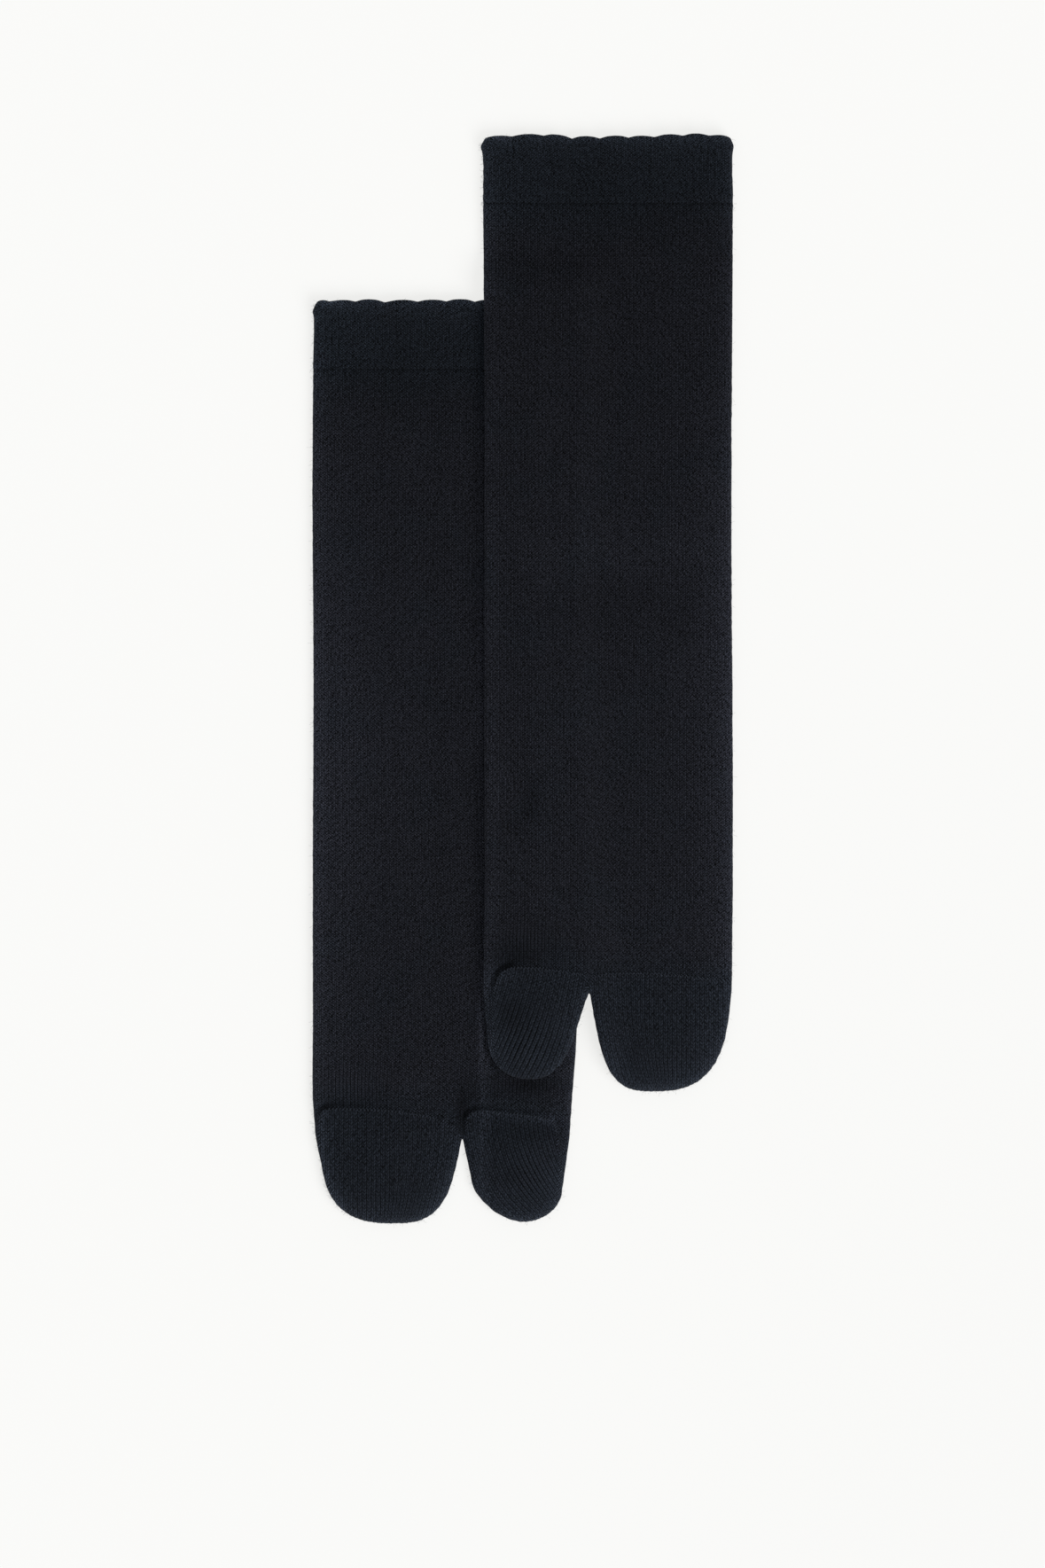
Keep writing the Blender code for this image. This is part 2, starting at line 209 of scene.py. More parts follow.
RIGHT_SOCK = Sock(
    name="right_foot",
    node="sock_right_foot",
    hand=1,
    axis=-29.7,
    cuff=136.6,
    stations=table(Station, [
        (0, 45.1, 44.6),
        (2.2, 45.9, 45.7),
        (7, 45.7, 45.2),
        (24, 45.9, 44.9),
        (59, 46.2, 44.5),
        (118, 45.9, 43.9),
        (165, 45.9, 44.2),
        (211, 46.1, 46),
        (266, 46, 49.3),
        (288, 46.1, 47.7),
        (301.8, 45.1, 46.8),
    ]),
    seam_along=293.8,
    seam_slant=0.038,
    crotch_along=301.8,
    crotch_across=8.0,
    big_toe=Toe(332.6, 30.1, ToeSide(15.8, 14.4, 1.85), ToeSide(12.5, 10.0, 2.0)),
    small_toes=Toe(333.1, -17.0, ToeSide(18.5, 23.4, 3.15), ToeSide(21.5, 18.2, 2.75)),
    lean=(0.06, 0.0125),
    stitch=(0.0140, 0.0168, 0.0226),
    folds=table(Fold, [
        (286, 7.5, 4, 14, 5, 0.9),
        (34, -32, 20, 10, 4, 0.4),
        (171, -6, 90, 26, 9, 0.4),
        (153, -6, 90, 26, 9, -0.7),
    ]),
    scallops=table(Scallop, [
        (-45, 1.1, 0),
        (-40, 0.7, -0.05),
        (-30.4, 0.6, -0.3),
        (-19.8, 1, -0.1),
        (-8.3, 0.65, -0.15),
        (2.2, 0.5, -0.35),
        (12.5, 0.6, -0.15),
        (22.8, 0.6, -0.15),
        (33.2, 0.7, -0.1),
        (44.8, 1.1, 1.1),
    ]),
    big_edge=table(Welt, [
        (298.6, 8.8, 0.1, 0.3),
        (293.6, 10.6, 0.4, 0.8),
        (292.4, 15.4, 0.55, 0.75),
        (292.8, 22, 0.55, 0.35),
        (293.7, 29.5, 0.6, 0.15),
        (294.6, 36, 0.65, 0.15),
        (295.6, 39.6, 0.6, 0.3),
        (297.6, 41.3, 0.4, 0.4),
        (301.5, 42.2, 0.25, 0.5),
        (307.5, 43.2, 0.2, 0.35),
        (317.1, 43.5, 0.2, 0.3),
        (324.5, 42.2, 0.1, 0.15),
    ]),
    small_edge=table(Welt, [
        (321.9, -39.7, 0.1, 0.1),
        (313.9, -42.9, 0.15, 0.15),
        (307.8, -43.8, 0.15, 0.2),
        (299.5, -43.9, 0.2, 0.3),
        (294.1, -43.3, 0.4, 0.5),
        (291.8, -41, 0.6, 0.8),
        (291.5, -35.8, 0.55, 0.45),
        (291.7, -27.8, 0.45, 0.15),
        (292.2, -18.2, 0.35, 0),
        (293.2, -10.2, 0.35, 0),
        (294.8, -2.2, 0.3, 0),
        (298.2, 4.2, 0.15, 0.2),
        (300.2, 7, 0.05, 0.1),
    ]),
    patches=table(Patch, [
        (168, -38, 95, 11, 0.36),
        (160, -20, 45, 17, 0.14),
        (283.6, 30, 4.2, 14, -0.34, 0.9),
        (293, 8, 9, 2.6, -0.5, 0.2),
        (286.7, -12, 9, 7, 0.18, 0.1),
        (283, -33, 9, 14, 0, 0.9),
        (289.5, -34, 3.2, 16, -0.22, 0.7),
        (300.3, 32, 3.5, 12, -0.25, 0.6),
        (316, 33, 14, 13, 0.05, 1),
        (326, -17, 8, 24, 0, 0.65),
        (140, 16.2, 150, 2.2, 0.6),
        (140, 15.2, 150, 1, 1),
        (152, 14, 26, 2.6, 0.35),
        (110, 9, 110, 5, -0.05),
        (34, -12, 13, 28, -0.18),
        (293.3, 21, 1.4, 9, 0.3),
        (295.2, 36, 1.5, 6, 0.5),
        (295.8, 40.2, 2.4, 1.7, 0.5),
        (316, 27, 3, 8, -0.16),
        (316, 39.5, 4, 2.5, 0.16),
        (288.5, 14, 4, 8, -0.14),
        (282.9, 32.5, 2.6, 6, -0.28),
        (256, 15.4, 16, 1.8, 1.3),
        (270, 17.7, 4.5, 1.2, 0.9),
        (10, -35, 15, 10, 0.1),
        (12, -14, 14, 9, -0.07),
    ]),
)


# ---------------- the form, as functions of place

def ramp(start, end, value):
    """0 at the start, 1 at the end, smooth between."""
    share = np.clip((value - start) / (end - start), 0.0, 1.0)
    return share * share * (3.0 - 2.0 * share)


def bell(offset, half_width):
    return np.exp(-((offset / half_width) ** 2))


def unit(vectors):
    return vectors / np.maximum(np.linalg.norm(vectors, axis=-1, keepdims=True), 1e-12)


def run_of(points):
    """Each point's distance from the first, along the polyline."""
    return np.concatenate([[0.0], np.cumsum(np.hypot(*np.diff(points, axis=0).T))])


def tree_of(places):
    """A tree that finds the nearest of some places in plan."""
    tree = kdtree.KDTree(len(places))
    for number, place in enumerate(places):
        tree.insert((*place, 0.0), number)
    tree.balance()
    return tree


def through(places, values, at):
    """A smooth curve through (place, value) pairs."""
    slopes = np.gradient(values, places)
    before = np.clip(np.searchsorted(places, at) - 1, 0, len(places) - 2)
    gap = places[before + 1] - places[before]
    share = np.clip((at - places[before]) / gap, 0.0, 1.0)
    rest = 1.0 - share
    start = rest * rest * ((1.0 + 2.0 * share) * values[before] + share * gap * slopes[before])
    after = before + 1
    end = share * share * ((1.0 + 2.0 * rest) * values[after] - rest * gap * slopes[after])
    return start + end


def edge_at(sock, side, along):
    stations = np.array(sock.stations).T
    return through(stations[0], stations[side], along)


def seam_at(sock, across):
    return sock.seam_along + sock.seam_slant * across


def toe_half_width(side, root, reach, from_tip):
    straight = side.shoulder + (root - side.shoulder) * from_tip / reach
    left = 1.0 - np.clip(from_tip / side.rounding, 0.0, 1.0)
    power = side.squareness
    return straight * (1.0 - left**power) ** (1.0 / power)


def toe_ends(sock, toe, share):
    """(along, far edge, split edge) of a toe's rows; share is 1 at the root and 0 at the tip."""
    reach = toe.tip_along - sock.crotch_along
    from_tip = reach * share
    side = 1 if toe is sock.big_toe else -1
    edge = edge_at(sock, INNER if side > 0 else OUTER, sock.crotch_along)
    far = toe_half_width(toe.far_side, edge - side * toe.tip_across, reach, from_tip)
    root = side * (toe.tip_across - sock.crotch_across)
    split = toe_half_width(toe.split_side, root, reach, from_tip)
    return toe.tip_along - from_tip, toe.tip_across + side * far, toe.tip_across - side * split


def from_crotch(sock, points):
    return np.hypot(points[:, 0] - sock.crotch_across, points[:, 1] - sock.crotch_along)


def fold_depth(folds, along, across):
    depth = np.zeros_like(along)
    for fold in folds:
        turn = np.radians(fold.heading)
        ahead = (along - fold.along) * np.cos(turn) + (across - fold.across) * np.sin(turn)
        aside = (across - fold.across) * np.cos(turn) - (along - fold.along) * np.sin(turn)
        depth += fold.depth * bell(aside, fold.half_width) * bell(ahead, fold.half_length)
    return depth


def toe_fullness(sock, along, across):
    past_seam = ramp(FULLNESS_START, FULLNESS_END, along - seam_at(sock, across))
    height = np.zeros_like(along)
    for toe in (sock.big_toe, sock.small_toes):
        width = 0.5 * (toe.split_side.shoulder + toe.far_side.shoulder)
        aside = (across - toe.tip_across) / (FULLNESS_SPREAD * width)
        height += TOE_FULLNESS * np.clip(1.0 - aside**2, 0.0, 1.0)
    return past_seam * height


def smooth_height(sock, along, across):
    height = BODY + WELT_EXTRA * ramp(WELT_LENGTH + WELT_STEP, WELT_LENGTH - WELT_STEP, along)
    return height + toe_fullness(sock, along, across)


def thickness(sock, along, across):
    """Height of the flattened tube, both layers, where it is clear of its edges."""
    height = smooth_height(sock, along, across) - fold_depth(sock.folds, along, across)
    height += MOUTH_GAPE * ramp(MOUTH_GAPE_LENGTH, 0.0, along)
    height -= WELT_GROOVE * bell(along - WELT_LENGTH - WELT_GROOVE_PLACE, GROOVE_HALF_WIDTH)
    return np.maximum(height, 2.0 * WALL + LEAST_GAP)


def lay_height(sock, along, across):
    """Height of a sock's underside: the left sock climbs over the right one."""
    if sock is RIGHT_SOCK:
        return np.zeros_like(along)
    lower_along = RIGHT_SOCK.cuff - (sock.cuff - along)
    lower_across = RIGHT_SOCK.hand * (sock.axis + sock.hand * across - RIGHT_SOCK.axis)
    edge = edge_at(RIGHT_SOCK, INNER, lower_along) + DROP_START
    over = ramp(edge + DROP_LENGTH, edge, lower_across)
    over *= ramp(-DROP_START - DROP_LENGTH, -DROP_START, lower_along)
    return over * (smooth_height(RIGHT_SOCK, lower_along, lower_across) + LAY_CLEARANCE)


def scallop_at(sock, across):
    """How far the cuff's edge lies along: round crests between pointed valleys."""
    places, dips, crests = np.array(sock.scallops).T
    before = np.clip(np.searchsorted(places, across) - 1, 0, len(places) - 2)
    share = np.clip((across - places[before]) / (places[before + 1] - places[before]), 0.0, 1.0)
    straight = dips[before] + (dips[before + 1] - dips[before]) * share
    middle = 0.5 * (dips[before] + dips[before + 1])
    return straight + (crests[before] - middle) * (1.0 - np.abs(2.0 * share - 1.0) ** CREST_POWER)


def waves(along, across, seed, count, shortest, longest):
    """A gentle unevenness: plane waves of many headings, about 1 high in all."""
    rng = np.random.default_rng(seed)
    height = np.zeros_like(along)
    for _ in range(count):
        heading, phase = rng.uniform(0.0, TURN, 2)
        length = rng.uniform(shortest, longest)
        step = along * np.cos(heading) + across * np.sin(heading)
        height += np.sin(TURN * step / length + phase)
    return height / np.sqrt(count)


# ---------------- the plan: outline, rings, grid

ROUND = np.linspace(0.0, 0.25 * TURN, 400)   # a quarter turn, from the edge to the top
ROUND_OUT = FOLD * (1.0 - np.cos(ROUND))
ROUND_ARC = run_of(np.column_stack([ROUND_OUT, 0.5 * BODY * np.sin(ROUND)]))
FOLD_ARC = ROUND_ARC[-1]
SPARE_ARC = FOLD_ARC - FOLD

# Steps between rows of points: on the welt and the instep, at the welt's end, and on the leg
FINE_STEP, FINEST_STEP, LEG_STEP = 0.6, 0.35, 1.5
INSTEP_LENGTH = 14.0         # of fine rows, above the seam
TOE_STEP = 0.7               # between the outline's points round the toes
EDGE_WOBBLE = ((0.04, 9, 2.2, 5.0), (0.03, 7, 9.0, 40.0))    # height, waves, shortest, longest


def leg_rows(sock):
    """Places of the rows from the cuff to just above the toe split."""
    end = sock.crotch_along - FOLD - TOE_STEP
    welt = np.arange(0.0, WELT_LENGTH - FINE_STEP, FINE_STEP)
    welt_end = np.arange(WELT_LENGTH - 0.4, WELT_LENGTH + 3.2, FINEST_STEP)
    instep = np.arange(sock.seam_along - INSTEP_LENGTH, end, FINE_STEP)
    leg = np.arange(welt_end[-1] + 1.4, instep[0] - 0.7, LEG_STEP)
    return np.concatenate([welt, welt_end, leg, instep])


def half_perimeter(sock, along):
    return edge_at(sock, OUTER, along) + edge_at(sock, INNER, along) + 2.0 * SPARE_ARC


def resampled(points, spacing):
    """The polyline's points, evenly spaced."""
    steps = run_of(points)
    at = np.linspace(0.0, steps[-1], int(round(steps[-1] / spacing)) + 1)
    return np.column_stack([np.interp(at, steps, points[:, axis]) for axis in (0, 1)])


def toe_outline(sock, toe):
    """A toe's edge as (across, along), from its far root round the tip to the split."""
    share = 1.0 - np.sin(np.linspace(0.0, 0.25 * TURN, 160))
    along, far, split = toe_ends(sock, toe, share)
    return np.vstack([np.column_stack([far, along]), np.column_stack([split, along])[-2::-1]])


def outline_of(sock):
    """The tube's edge in plan, from the cuff round both toes and back, with its inward normals."""
    rows = leg_rows(sock)
    outer = np.column_stack([-edge_at(sock, OUTER, rows), rows])
    inner = np.column_stack([edge_at(sock, INNER, rows), rows])
    small = resampled(toe_outline(sock, sock.small_toes), TOE_STEP)
    big = resampled(toe_outline(sock, sock.big_toe), TOE_STEP)[::-1]
    start_small = np.linspace(outer[-1], small[0], 6)[1:-1]
    end_big = np.linspace(big[-1], inner[-1], 6)[1:-1]
    points = np.vstack([outer, start_small, small, big[1:], end_big, inner[::-1]])
    near_split = ramp(1.6, 0.6, from_crotch(sock, points))[:, None]
    loose = np.zeros(len(points))[:, None]
    loose[len(rows):len(points) - len(rows)] = 1.0
    pull = 0.5 * near_split + 0.15 * loose * (1.0 - near_split)
    for _ in range(6):
        middle = 0.5 * (np.roll(points, 1, axis=0) + np.roll(points, -1, axis=0))
        points = points + pull * (middle - points)
    ahead = np.gradient(points, axis=0)
    normals = unit(np.column_stack([ahead[:, 1], -ahead[:, 0]]))
    for _ in range(4):
        normals = unit(normals + np.roll(normals, 1, axis=0) + np.roll(normals, -1, axis=0))
    level = np.column_stack([np.sign(-points[:, 0]), np.zeros(len(points))])
    near_cuff = ramp(6.0, 1.0, points[:, 1])[:, None]
    return points, unit(normals * (1.0 - near_cuff) + level * near_cuff)


def wobbled(sock, points, normals):
    """The edge is a row of loops, so it is never quite straight."""
    steps, seed = run_of(points), 11 + sock.hand
    off = sum(high * waves(steps, 0 * steps, seed, *rest) for high, *rest in EDGE_WOBBLE)
    return points + (off * ramp(0.0, 6.0, points[:, 1]))[:, None] * normals


class Sheet:
    """One layer of a skin, in plan: rings round the fold, then a grid inside them."""

    def __init__(self, sock, inset, rings, grid):
        outline, normals = outline_of(sock)
        outline = wobbled(sock, outline, normals)
        share = (FOLD - inset) / FOLD
        wale = half_perimeter(sock, np.minimum(outline[:, 1], sock.crotch_along)) / WALES_ACROSS
        push = SPARE_ARC * ramp(1.0, 8.0, from_crotch(sock, outline))
        plan, arcs, spread = [], [], []
        for wales in [0.0, *rings]:
            arc = np.minimum(wales * wale, FOLD_ARC)
            out = inset + share * np.interp(arc, ROUND_ARC, ROUND_OUT)
            plan.append(outline + out[:, None] * normals)
            spread.append(plan[-1] - (push * (1.0 - arc / FOLD_ARC))[:, None] * normals)
            arcs.append(arc)
        across = grid.columns(sock, np.array(0.0), plan[-1][0, 0], plan[-1][-1, 0])
        self.cuff_inside = np.column_stack([across, np.zeros(len(across))])
        inside = np.vstack([self.cuff_inside, grid.points(sock, outline)])
        self.inset, self.count, self.rings = inset, len(outline), len(plan)
        self.plan = np.vstack(plan + [inside])
        self.spread = np.vstack(spread + [inside])
        self.arc = np.concatenate(arcs + [np.full(len(inside), FOLD_ARC)])
        self.outward = np.vstack([-normals] * len(plan) + [np.zeros_like(inside)])
        self.faces = self._faces()

    def cuff_row(self):
        """Point numbers along the open edge, from one fold to the other."""
        starts = [ring * self.count for ring in range(self.rings)]
        first = self.rings * self.count
        middle = list(range(first, first + len(self.cuff_inside)))
        return starts + middle + [start + self.count - 1 for start in starts[::-1]]

    def _faces(self):
        """Triangles, anticlockwise where across points right and along points down."""
        count = self.count
        step = np.arange(count - 1)
        faces = []
        for ring in range(self.rings - 1):
            a, b = step + ring * count, step + (ring + 1) * count
            faces += np.column_stack([a, a + 1, b + 1]), np.column_stack([a, b + 1, b])
        first = (self.rings - 1) * count
        flat = self.plan[first:] * (1.0, -1.0)
        border = [*range(count), *range(count + len(self.cuff_inside) - 1, count - 1, -1)]
        edges = list(zip(border, border[1:] + border[:1]))
        _, _, found, origin, _, _ = geometry.delaunay_2d_cdt(
            [tuple(point) for point in flat], edges, [], 1, 1e-7)
        number = np.array([source[0] for source in origin])
        faces.append(number[np.array(found)] + first)
        return np.vstack(faces)

    def rounding(self):
        """0 on the tube's edge, 1 past its fold."""
        return np.interp(self.arc, ROUND_ARC, np.sin(ROUND))


class Grid(namedtuple("Grid", "per_wale row_step cap_column cap_row")):
    """Where the points inside the rings lie: columns that follow the wales, and rows."""

    def columns(self, sock, along, low, high):
        wales = np.arange(1, int(WALES_ACROSS * self.per_wale)) / self.per_wale
        arc = wales / WALES_ACROSS * half_perimeter(sock, along)
        across = arc - SPARE_ARC - edge_at(sock, OUTER, along)
        gap = 0.35 / self.per_wale
        return across[(across > low + gap) & (across < high - gap)]

    def points(self, sock, outline):
        rows = leg_rows(sock)[1::self.row_step]
        found = []
        for along in rows:
            low = FOLD - edge_at(sock, OUTER, along)
            high = edge_at(sock, INNER, along) - FOLD
            across = self.columns(sock, along, low, high)
            found.append(np.column_stack([across, np.full(len(across), along)]))
        end = max(sock.big_toe.tip_along, sock.small_toes.tip_along)
        across, along = np.meshgrid(np.arange(-50.0, 50.0, self.cap_column),
                                    np.arange(rows[-1] + self.cap_row, end, self.cap_row))
        caps = np.column_stack([across.ravel(), along.ravel()])
        found.append(caps[self.inside(sock, caps, outline)])
        return np.vstack(found)

    def inside(self, sock, points, outline):
        across, along = points.T
        kept = along < sock.crotch_along
        kept &= across > -edge_at(sock, OUTER, along)
        kept &= across < edge_at(sock, INNER, along)
        for toe in (sock.big_toe, sock.small_toes):
            share = (toe.tip_along - along) / (toe.tip_along - sock.crotch_along)
            _, far, split = toe_ends(sock, toe, np.clip(share, 0.0, 1.0))
            between = (across - far) * (across - split) < 0.0
            kept |= between & (share > 0.0) & (share <= 1.0)
        tree = tree_of(outline)
        least = FOLD + 0.45 * self.cap_column
        for number in np.flatnonzero(kept):
            kept[number] = tree.find((*points[number], 0.0))[2] > least
        return kept


# ---------------- the knitting on the form

def edge_curve(path):
    """A toe pocket's edge, finely divided: along, across, ridge, groove and run from its start."""
    steps = np.arange(float(len(path)))
    at = np.linspace(0.0, steps[-1], 12 * len(path))
    curve = np.column_stack([through(steps, values, at) for values in np.array(path).T])
    return np.column_stack([curve, run_of(curve[:, :2])])


def beside_edge(path, along, across):
    """Per place: distance to the edge (positive inside the pocket), its ridge, groove and place."""
    curve = edge_curve(path)
    nearest = np.full(len(along), 1e9)
    found = np.zeros((len(along), 4))
    for start, end in zip(curve[:-1], curve[1:]):
        run = end[:2] - start[:2]
        off_along, off_across = along - start[0], across - start[1]
        share = (off_along * run[0] + off_across * run[1]) / max(run @ run, 1e-9)
        share = np.clip(share, 0.0, 1.0)
        off_along, off_across = off_along - share * run[0], off_across - share * run[1]
        distance = np.hypot(off_along, off_across)
        side = np.sign(run[1] * off_along - run[0] * off_across)
        closer = distance < nearest
        nearest[closer] = distance[closer]
        rest = start[2:] + share[:, None] * (end - start)[2:]
        found[closer] = np.column_stack([distance * side, rest])[closer]
    return found.T


def beside_pockets(sock, along, across):
    big, small = (beside_edge(path, along, across) for path in (sock.big_edge, sock.small_edge))
    return np.where(across > sock.crotch_across, big, small)


# ---------------- the shells

UPPER = Grid(per_wale=3, row_step=1, cap_column=0.42, cap_row=0.6)
UNDER = Grid(per_wale=1, row_step=2, cap_column=1.3, cap_row=1.3)
INSIDE = Grid(per_wale=0.5, row_step=4, cap_column=2.6, cap_row=2.6)
UPPER_RINGS = np.arange(1, 10) / POINTS_PER_WALE
UNDER_RINGS = np.array([0.4, 1.2, 2.3, 3.1])
INNER_RINGS = np.array([1.0, 3.0])

WALE_GROOVE, OPEN_GROOVE = 0.13, 1.3   # between wales, and how much deeper where they stand apart
RIB_GROOVE = 0.05
GATHER_LENGTH, GATHER_DEPTH, GATHER_HALF_WIDTH = 9.0, 0.35, 0.9
# Unevenness: height, its stretch across, seed, waves, the shortest and the longest of them
UNEVEN = ((0.10, 1.0, 31, 12, 14.0, 34.0), (0.16, 0.35, 41, 10, 40.0, 90.0))
HEEL_START, HEEL_END, HEEL_HALF_WIDTH = 132.0, 182.0, 37.0
GORE_HEIGHT, GORE_HALF_WIDTH, GORE_SLANT = 0.25, 1.0, 15.0

# Painted light: a lighter rim on the folds, the cuff and round the toes
PAINTED_RIM_LIGHT = ((0.62, 2.2), (0.38, 7.0))      # each part's share, and how far from the edge it fades
FAR_RIM_LIGHT, FAR_RIM_LIGHT_LENGTH = 2.0, 2.5   # more of it, on the side away from the softbox
CUFF_RIM_LIGHT, TOE_RIM_LIGHT = 0.3, 0.9         # more of it, at the cuff and round the toes
SHADED_RIM_LIGHT = 0.75                     # less of it, in the other sock's shade
# Painted shade in the creases beside the pockets' edges
CREASE_SHADE = 0.42


def leg_wale(sock, sheet):
    """Wale number of each of a sheet's points, counted round the leg from its outer edge."""
    across, along = sheet.plan.T
    along = np.minimum(along, sock.crotch_along)
    perimeter = half_perimeter(sock, along)
    arc = across + edge_at(sock, OUTER, along) + SPARE_ARC
    outward = sheet.outward[:, 0]
    arc = np.where(outward < -0.5, sheet.arc, np.where(outward > 0.5, perimeter - sheet.arc, arc))
    return WALES_ACROSS * arc / perimeter


def cap_knit(sock, along, across):
    """(wale, course) numbers in the toe pockets, whose wales lean towards the tips."""
    past = np.maximum(along - seam_at(sock, across), 0.0)
    big = across > sock.crotch_across
    lean_big = sock.lean[0] * past + sock.lean[1] * past**2
    lean_big *= 0.62 + 0.38 * ramp(10.0, 38.0, across)
    near_split = ramp(-18.0, 0.0, across - sock.crotch_across + 0.35 * past)
    lean = np.where(big, lean_big, -0.004 * past**2 * near_split)
    slope = np.where(big, 0.35 * (across - sock.crotch_across), 0.0)
    return (across - lean) / CAP_WALE, (along + slope) / CAP_COURSE


def layer(sock, sheet, upper):
    """A sheet's points as (across, along, height)."""
    across, along = sheet.plan.T
    height = thickness(sock, along, across)
    middle = lay_height(sock, along, across) + 0.5 * height
    reach = (0.5 * height - sheet.inset) * sheet.rounding()
    up = middle + reach if upper else middle - reach
    near_cuff = ramp(7.0, 0.0, along)
    return np.column_stack([across, along + near_cuff * (scallop_at(sock, across) + LIP), up])


def normals_of(points, faces):
    corners = points[faces]
    normals = np.cross(corners[:, 1] - corners[:, 0], corners[:, 2] - corners[:, 0])
    total = np.zeros_like(points)
    for corner in range(3):
        np.add.at(total, faces[:, corner], normals)
    return unit(total)


def patches_at(sock, along, across):
    """(painted light and shade, open wales) of each place."""
    nap, open_wales = np.zeros(len(along)), np.zeros(len(along))
    for patch in sock.patches:
        share = bell(along - patch.along, patch.half_length)
        share *= bell(across - patch.across, patch.half_width)
        nap += patch.nap * share
        open_wales = np.maximum(open_wales, patch.open * share)
    return nap, open_wales


def upper_relief(sock, sheet, wale, pocket):
    """Height added to the upper face: wales, ribs, gathers, the pockets' edges, unevenness."""
    across, along = sheet.plan.T
    signed, ridge, groove, _ = pocket
    on_top = sheet.rounding()
    in_leg = ramp(0.6, -0.6, signed)
    in_welt = ramp(WELT_LENGTH + 0.3, WELT_LENGTH - 0.3, along)
    rib = 0.5 + 0.5 * np.cos(0.5 * TURN * wale)
    deep = WALE_GROOVE * (1.0 + OPEN_GROOVE * patches_at(sock, along, across)[1])
    relief = -deep * (0.5 + 0.5 * np.cos(TURN * wale)) * in_leg * (1.0 - in_welt)
    relief -= RIB_GROOVE * rib**1.5 * in_welt * ramp(0.0, 2.0, along)
    cap_wale, _ = cap_knit(sock, along, across)
    relief -= deep * (0.5 + 0.5 * np.cos(TURN * cap_wale)) * (1.0 - in_leg)
    relief += on_top * (ridge * bell(signed - 0.3, 1.0) - groove * bell(signed + 1.9, 1.3))
    for number, scallop in enumerate(sock.scallops[1:-1]):
        length = GATHER_LENGTH * (0.6 + 0.5 * ((number * 7) % 5) / 4.0)
        lean = 0.06 * (((number * 3) % 5) - 2)
        gather = bell(across - scallop.across - lean * along, GATHER_HALF_WIDTH)
        relief -= GATHER_DEPTH * gather * ramp(length, 0.0, along)
    for high, stretch, seed, *rest in UNEVEN:
        relief += on_top * high * waves(along, stretch * across, seed + sock.hand, *rest)
    return relief


def under_relief(sheet):
    """Height added to the underside, which no photo shows: the turned heel's two gore lines."""
    across, along = sheet.plan.T
    middle = 0.5 * (HEEL_START + HEEL_END)
    run = np.abs(along - middle) / (0.5 * (HEEL_END - HEEL_START))
    gore = HEEL_HALF_WIDTH - GORE_SLANT * (1.0 - np.clip(run, 0.0, 1.0))
    return GORE_HEIGHT * ramp(1.1, 0.9, run) * bell(np.abs(across) - gore, GORE_HALF_WIDTH)


def painted_edge_light(sock, sheet, pocket):
    """(painted rim light, painted light and shade, open) of each point, which the material reads.

    The rim light is painted light on the folds and the cuff, 1 at the very edge. It is nearly gone
    where the left sock's big-toe side lies on the other sock, in its shade. The second value is
    painted light and shade in patches, and painted shade in the crease beside a pocket's edge.
    """
    across, along = sheet.plan.T
    tree = tree_of(sheet.plan[:sheet.count])
    away = np.array([tree.find((*point, 0.0))[2] for point in sheet.plan])
    away = np.minimum(away, np.maximum(along, 0.0))
    # Painted rim light, fading with the distance from the edge
    painted_rim_light = sum(share * np.exp(-away / length) for share, length in PAINTED_RIM_LIGHT)
    far = np.maximum(ramp(32.0, 36.0, -sock.hand * across), CUFF_RIM_LIGHT * ramp(4.0, 1.0, along))
    painted_rim_light *= 1.0 + FAR_RIM_LIGHT * far * np.exp(-away / FAR_RIM_LIGHT_LENGTH)
    painted_rim_light *= 1.0 + TOE_RIM_LIGHT * ramp(sock.crotch_along + 4.0, sock.crotch_along + 28.0, along)
    if sock is LEFT_SOCK:
        cuff_below = LEFT_SOCK.cuff - RIGHT_SOCK.cuff
        shaded = ramp(10.0, 25.0, across) * ramp(cuff_below - 4.0, cuff_below + 4.0, along)
        painted_rim_light *= 1.0 - SHADED_RIM_LIGHT * shaded
    # Painted light and shade in patches
    nap, open_wales = patches_at(sock, along, across)
    signed, _, groove, _ = pocket
    # Painted shade in the crease beside a pocket's edge
    nap -= CREASE_SHADE * groove * bell(signed + 1.1, 1.2)
    return np.column_stack([painted_rim_light, nap, open_wales])


def zipped(near, far, across):
    """Triangles between two rows of point numbers, which may differ in count."""
    faces = []
    i = j = 0
    while i < len(near) - 1 or j < len(far) - 1:
        at_end = j == len(far) - 1
        if at_end or (i < len(near) - 1 and across[near[i + 1]] <= across[far[j + 1]]):
            faces.append((near[i], near[i + 1], far[j]))
            i += 1
        else:
            faces.append((near[i], far[j + 1], far[j]))
            j += 1
    return faces


